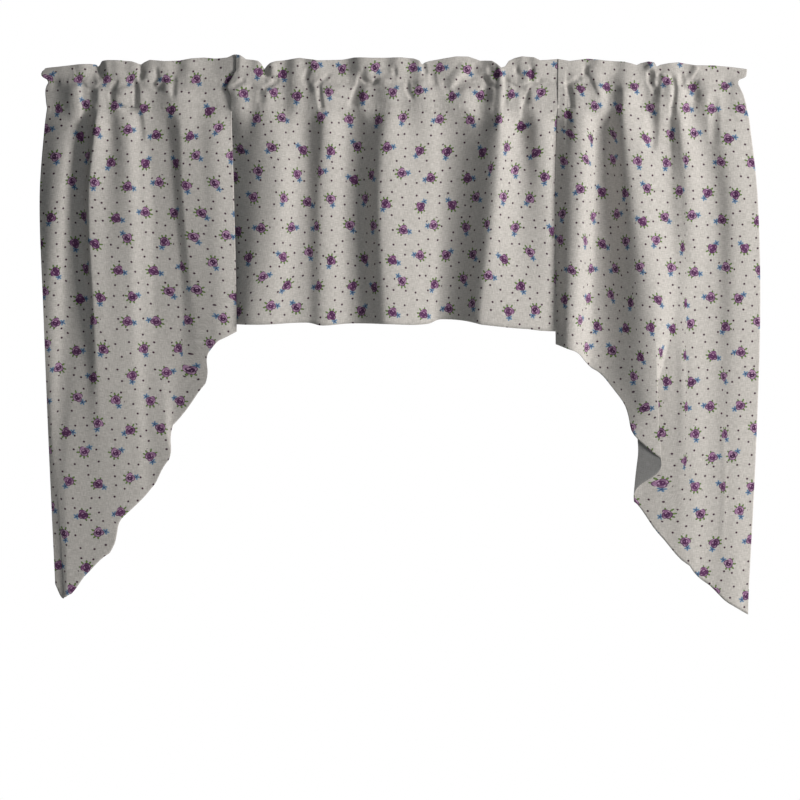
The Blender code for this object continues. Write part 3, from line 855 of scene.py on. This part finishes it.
LEAVES = (
    Oval(-6.2, 6.0, 3.0, 1.5, 138, LEAF),
    Oval(-1.8, 9.0, 3.1, 1.5, 100, LEAF),
    Oval(3.4, 8.6, 3.2, 1.5, 66, LEAF),
    Oval(8.4, 3.8, 3.0, 1.4, 20, LEAF),
    Oval(8.0, -4.2, 2.4, 1.3, -32, LEAF),
)
FLOWER_X, FLOWER_Y, FLOWER_RADIUS = -6.6, -8.8, 5.3
FLOWER_PETALS = 5
FLOWER_NOTCH = 0.32

SoftEdge = namedtuple("SoftEdge", "edge blur")
LEAF_RIM, LEAF_MIDDLE = SoftEdge(1.0, 0.12), SoftEdge(0.45, 0.2)
FLOWER_RIM, FLOWER_HEART = SoftEdge(1.0, 0.1), SoftEdge(0.5, 0.3)
PETAL_RIM, PETAL_FILL = SoftEdge(1.0, 0.06), SoftEdge(0.80, 0.12)
DARKEST, PALEST = 0.3, 0.36
print(len(PETALS), "ovals in a rose,", len(LEAVES), "leaves")


# %% Sprigs, leaves, flower and rose
def sprig_shift(tree, count, whole, wander, pitch):
    """How far a point lies from its sprig's centre along one direction of the cloth."""
    share = do_math(tree, "SUBTRACT", do_math(tree, "SUBTRACT", count, whole), 0.5)
    step = do_math(tree, "MULTIPLY", share, pitch)
    shift = do_math(tree, "MULTIPLY", do_math(tree, "SUBTRACT", wander, 0.5), SPRIG_WANDER)
    return do_math(tree, "SUBTRACT", step, shift)


def scatter_sprigs(tree, cloth):
    """Each point's place from its sprig's centre, also turned with the sprig, and two random rolls."""
    across, down = split(tree, cloth)
    rows = do_math(tree, "DIVIDE", down, SPRIG_DOWN)
    row = do_math(tree, "FLOOR", rows)
    stagger = do_math(tree, "MULTIPLY", do_math(tree, "FLOORED_MODULO", row, 2.0), 0.5)
    columns = do_math(tree, "ADD", do_math(tree, "DIVIDE", across, SPRIG_ACROSS), stagger)
    column = do_math(tree, "FLOOR", columns)
    cell = combine(tree, column, row)
    dice = add_node(tree, "TexWhiteNoise", {"Vector": cell}, noise_dimensions="2D")
    roll = add_node(tree, "SeparateColor", {0: dice.outputs["Color"]})
    red, green, blue = (roll.outputs[name] for name in ("Red", "Green", "Blue"))
    away = combine(tree, sprig_shift(tree, columns, column, green, SPRIG_ACROSS),
                   sprig_shift(tree, rows, row, blue, SPRIG_DOWN))
    angle = do_math(tree, "MULTIPLY", red, TURN)
    turn = add_node(tree, "VectorRotate", {"Vector": away, "Angle": angle}, rotation_type="Z_AXIS")
    coin = do_math(tree, "GREATER_THAN", dice.outputs["Value"], 0.5)
    flip = combine(tree, do_math(tree, "MULTIPLY_ADD", coin, 2.0, -1.0), 1.0, 1.0)
    return away, do_vector(tree, "MULTIPLY", turn.outputs["Vector"], flip), green, blue


def print_dots(tree, cloth, away, colour):
    """The colour with the pin dots on it, which keep clear of the sprigs."""
    inputs = {"Vector": cloth, "Scale": 1.0 / DOT_PITCH, "Randomness": DOT_SCATTER}
    dots = add_node(tree, "TexVoronoi", inputs, voronoi_dimensions="2D")
    dot = soft_inside(tree, dots.outputs["Distance"], DOT_RADIUS / DOT_PITCH, DOT_BLUR)
    clear = do_math(tree, "GREATER_THAN", do_vector(tree, "LENGTH", away), DOT_CLEAR)
    return mix_colour(tree, do_math(tree, "MULTIPLY", dot, clear), colour, DOT)


def print_leaves(tree, place, colour):
    """The colour with the leaves on it, each paler in its middle."""
    for leaf in LEAVES:
        reach = oval(tree, place, leaf)
        mask = soft_inside(tree, reach, *LEAF_RIM)
        middle = soft_inside(tree, reach, *LEAF_MIDDLE)
        colour = mix_colour(tree, mask, colour, mix_colour(tree, middle, LEAF_DARK, leaf.ink))
    return colour


def print_flower(tree, place, colour):
    """The colour with the blue flower on it, whose rim draws in between its petals."""
    away = do_vector(tree, "SUBTRACT", place, (FLOWER_X, FLOWER_Y, 0))
    x, y = split(tree, away)
    swing = do_math(tree, "MULTIPLY", do_math(tree, "ARCTAN2", y, x), FLOWER_PETALS / 2.0)
    lobes = do_math(tree, "ABSOLUTE", do_math(tree, "COSINE", swing))
    notch = FLOWER_NOTCH * FLOWER_RADIUS
    rim = do_math(tree, "MULTIPLY_ADD", lobes, FLOWER_RADIUS - notch, notch)
    reach = do_math(tree, "DIVIDE", do_vector(tree, "LENGTH", away), rim)
    mask = soft_inside(tree, reach, *FLOWER_RIM)
    heart = soft_inside(tree, reach, *FLOWER_HEART)
    return mix_colour(tree, mask, colour, mix_colour(tree, heart, PALE_BLUE, BLUE))


def print_rose(tree, place, outline_roll, tint_roll, colour):
    """The colour with the rose on it, its outline and its tint set by the sprig's two rolls."""
    outline = mix_colour(tree, outline_roll, DARK_PURPLE, PURPLE)
    for petal in PETALS:
        reach = oval(tree, place, petal)
        fill = soft_inside(tree, reach, *PETAL_FILL)
        mask = fill if petal.ink == PINK else soft_inside(tree, reach, *PETAL_RIM)
        petal_ink = outline
        if petal.ink != DARK_PURPLE:
            darkest = mix_colour(tree, DARKEST, petal.ink, DARK_PURPLE)
            palest = mix_colour(tree, PALEST, petal.ink, PALE_PINK)
            petal_ink = mix_colour(tree, tint_roll, darkest, palest)
        colour = mix_colour(tree, mask, colour, mix_colour(tree, fill, outline, petal_ink))
    return colour


# %% Print group
def print_group():
    """A node group that turns U and V, in millimetres, into the printed colour."""
    tree = bpy.data.node_groups.new("rose_sprig_print", "ShaderNodeTree")
    tree.interface.new_socket("Cloth", in_out="INPUT", socket_type="NodeSocketVector")
    tree.interface.new_socket("Ground", in_out="INPUT", socket_type="NodeSocketColor")
    tree.interface.new_socket("Colour", in_out="OUTPUT", socket_type="NodeSocketColor")
    inside = tree.nodes.new("NodeGroupInput")
    result = tree.nodes.new("NodeGroupOutput")
    cloth = inside.outputs["Cloth"]
    away, place, green, blue = scatter_sprigs(tree, cloth)
    colour = print_dots(tree, cloth, away, inside.outputs["Ground"])
    colour = print_leaves(tree, place, colour)
    colour = print_flower(tree, place, colour)
    colour = print_rose(tree, place, green, blue, colour)
    tree.links.new(colour, result.inputs["Colour"])
    return tree


rose_sprigs = print_group()
print("print group:", len(rose_sprigs.nodes), "nodes")

# %% [markdown]
# ## The cloth
# Linen-look cotton is matt. Its threads are uneven in thickness, which shows as short pale and dark
# streaks both ways and as a slight relief. Noises drawn out along U and V make both, so they also
# follow the folds. The wrong side has no print, and its grey is darkened with painted shade.

# %% Cloth materials
THREADS_PER_MM = 1.15
THREAD_RELIEF = 0.12
RELIEF_STRENGTH = 0.35
SLUB_SHARE = 0.5
SLUB_LONG, SLUB_THIN = 9.0, 0.9
SLUB_DETAIL = 2.0
UNEVEN_GAIN, UNEVEN_BASE = 1.6, -1.1
CUT_ACROSS, CUT_DOWN, CUT_START = 137.0, 71.0, 2000.0
PRINTED_FINISH = {
    "Roughness": 0.9, "Specular IOR Level": 0.25, "Sheen Weight": 0.15, "Sheen Roughness": 0.6,
}
REVERSE_FINISH = {"Roughness": 0.92, "Specular IOR Level": 0.2}
# Painted shade: the wrong side's two thread colours are darkened for the shade that side hangs in.
REVERSE_SHADED_DARK = (0.19, 0.19, 0.19, 1)
REVERSE_SHADED_PALE = (0.26, 0.26, 0.26, 1)


def new_material(name, finish):
    """A new material and its shader, set to a finish."""
    material = bpy.data.materials.new(name)
    material.use_nodes = True
    shader = material.node_tree.nodes["Principled BSDF"]
    for socket, value in finish.items():
        shader.inputs[socket].default_value = value
    return material, shader


def cloth_map(tree, seed):
    """The cloth's own U and V in millimetres, shifted so that each piece is cut elsewhere."""
    uv = add_node(tree, "UVMap", {}, uv_map="cloth")
    start = (seed * CUT_ACROSS, seed * CUT_DOWN + CUT_START, 0)
    inputs = {"Vector": uv.outputs["UV"], "Scale": (1 / MM, 1 / MM, 1), "Location": start}
    return add_node(tree, "Mapping", inputs).outputs["Vector"]


def weave_height(tree, cloth):
    """The plain weave's relief: a sine each way, one for warp and one for weft."""
    waves = [do_math(tree, "SINE", do_math(tree, "MULTIPLY", way, TURN * THREADS_PER_MM))
             for way in split(tree, cloth)]
    return do_math(tree, "MULTIPLY", *waves)


def slubs(tree, cloth, along, across):
    """Uneven threads: a noise drawn out along one direction of the cloth."""
    drawn = add_node(tree, "Mapping", {"Vector": cloth, "Scale": (1 / along, 1 / across, 1)})
    inputs = {"Vector": drawn.outputs["Vector"], "Scale": 1.0, "Detail": SLUB_DETAIL}
    return add_node(tree, "TexNoise", inputs, noise_dimensions="2D").outputs["Fac"]


def thread_streaks(tree, cloth, dark, pale):
    """The uneven threads both ways, and the cloth's plain colour streaked by them."""
    weft, warp = slubs(tree, cloth, SLUB_LONG, SLUB_THIN), slubs(tree, cloth, SLUB_THIN, SLUB_LONG)
    threads = do_math(tree, "ADD", weft, warp)
    uneven = do_math(tree, "MULTIPLY_ADD", threads, UNEVEN_GAIN, UNEVEN_BASE)
    return threads, mix_colour(tree, uneven, dark, pale)


def printed_cotton(name, seed):
    """Linen-look cotton with the rose sprigs printed on it."""
    material, shader = new_material(name, PRINTED_FINISH)
    tree = material.node_tree
    cloth = cloth_map(tree, seed)
    threads, ground = thread_streaks(tree, cloth, GROUND_DARK, GROUND)
    group = tree.nodes.new("ShaderNodeGroup")
    group.node_tree = rose_sprigs
    tree.links.new(cloth, group.inputs["Cloth"])
    tree.links.new(ground, group.inputs["Ground"])
    tree.links.new(group.outputs["Colour"], shader.inputs["Base Color"])
    height = do_math(tree, "MULTIPLY_ADD", threads, SLUB_SHARE, weave_height(tree, cloth))
    relief = {"Height": height, "Strength": RELIEF_STRENGTH, "Distance": THREAD_RELIEF * MM}
    bump = add_node(tree, "Bump", relief)
    tree.links.new(bump.outputs["Normal"], shader.inputs["Normal"])
    return material


def plain_reverse(name, seed):
    """The cloth's wrong side: the same threads without the print, in a grey darkened with painted shade.
    """
    material, shader = new_material(name, REVERSE_FINISH)
    tree = material.node_tree
    colour = thread_streaks(tree, cloth_map(tree, seed), REVERSE_SHADED_DARK, REVERSE_SHADED_PALE)[1]
    tree.links.new(colour, shader.inputs["Base Color"])
    return material


for number, piece in enumerate((left_piece, centre_piece, right_piece)):
    piece.data.materials.append(printed_cotton(piece.name + "_print", number))
    piece.data.materials.append(plain_reverse(piece.name + "_reverse", number))
    print(piece.name, "wears", [material.name for material in piece.data.materials])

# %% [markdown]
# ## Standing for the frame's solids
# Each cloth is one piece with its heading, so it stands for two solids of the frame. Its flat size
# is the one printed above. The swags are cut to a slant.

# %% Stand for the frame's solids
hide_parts("left_heading", "left_swag")
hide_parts("centre_heading", "centre_valance")
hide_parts("right_heading", "right_swag")
for piece in (left_piece, centre_piece, right_piece):
    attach(piece, "root")

# %% [markdown]
# ## Floor, lights and background
# The photograph is lit hard from the right, which makes the side of each fold that faces left dark,
# and it has no shadow around the cloth. So the key light stands far to the right, a weak one fills
# the front, one behind lights the back for whoever looks there, and only the camera sees the white.

# %% Floor, background and lights
FLOOR_Z, FLOOR_RADIUS, FLOOR_SIDES = -1.45, 2.2, 96
FLOOR_FINISH = {"Base Color": (0.86, 0.86, 0.85, 1), "Roughness": 0.9}
WARM, COOL = (1.0, 0.97, 0.93), (0.92, 0.97, 1.0)
LIGHT_AIM = Vector((0, 0, -0.3))
Light = namedtuple("Light", "name place side power colour")
LIGHTS = (
    Light("key", (3.4, -2.1, 0.4), 1.3, 161, WARM),
    Light("fill", (0.6, -4.5, 0.4), 2.0, 14, COOL),
    Light("back", (-1.4, 3.8, 0.2), 2.0, 46, COOL),
)
SKY_COLOUR, SKY_STRENGTH = (0.90, 0.97, 1.0, 1), 0.07
WHITE = (1, 1, 1, 1)


def add_floor():
    """A plain pale floor under the valance."""
    mesh_data = bmesh.new()
    bmesh.ops.create_circle(mesh_data, cap_ends=True, segments=FLOOR_SIDES, radius=FLOOR_RADIUS)
    mesh = bpy.data.meshes.new("floor")
    mesh_data.to_mesh(mesh)
    mesh_data.free()
    floor = bpy.data.objects.new("floor", mesh)
    floor.location = (0, 0, FLOOR_Z)
    bpy.context.scene.collection.objects.link(floor)
    mesh.materials.append(new_material("floor_white", FLOOR_FINISH)[0])


def add_light(light):
    """A square soft light at its place, turned to the valance."""
    data = bpy.data.lights.new(light.name, "AREA")
    data.shape = "SQUARE"
    data.size = light.side
    data.energy = light.power
    data.color = light.colour
    lamp = bpy.data.objects.new(light.name, data)
    lamp.location = light.place
    lamp.rotation_mode = "QUATERNION"
    lamp.rotation_quaternion = (lamp.location - LIGHT_AIM).to_track_quat("Z", "Y")
    bpy.context.scene.collection.objects.link(lamp)


def add_background():
    """A dim cool sky that lights the scene, and a plain white that only the camera sees."""
    world = bpy.data.worlds.new("studio")
    bpy.context.scene.world = world
    world.use_nodes = True
    sky = world.node_tree
    dim = sky.nodes["Background"]
    dim.inputs["Color"].default_value = SKY_COLOUR
    dim.inputs["Strength"].default_value = SKY_STRENGTH
    seen = add_node(sky, "Background", {"Color": WHITE})
    to_camera = add_node(sky, "LightPath", {}).outputs["Is Camera Ray"]
    choose = add_node(sky, "MixShader", {0: to_camera, 1: dim.outputs[0], 2: seen.outputs[0]})
    sky.links.new(choose.outputs[0], sky.nodes["World Output"].inputs["Surface"])


add_floor()
for light in LIGHTS:
    add_light(light)
add_background()
bpy.context.scene.view_settings.view_transform = "Standard"
print("lights:", [light.name for light in LIGHTS])
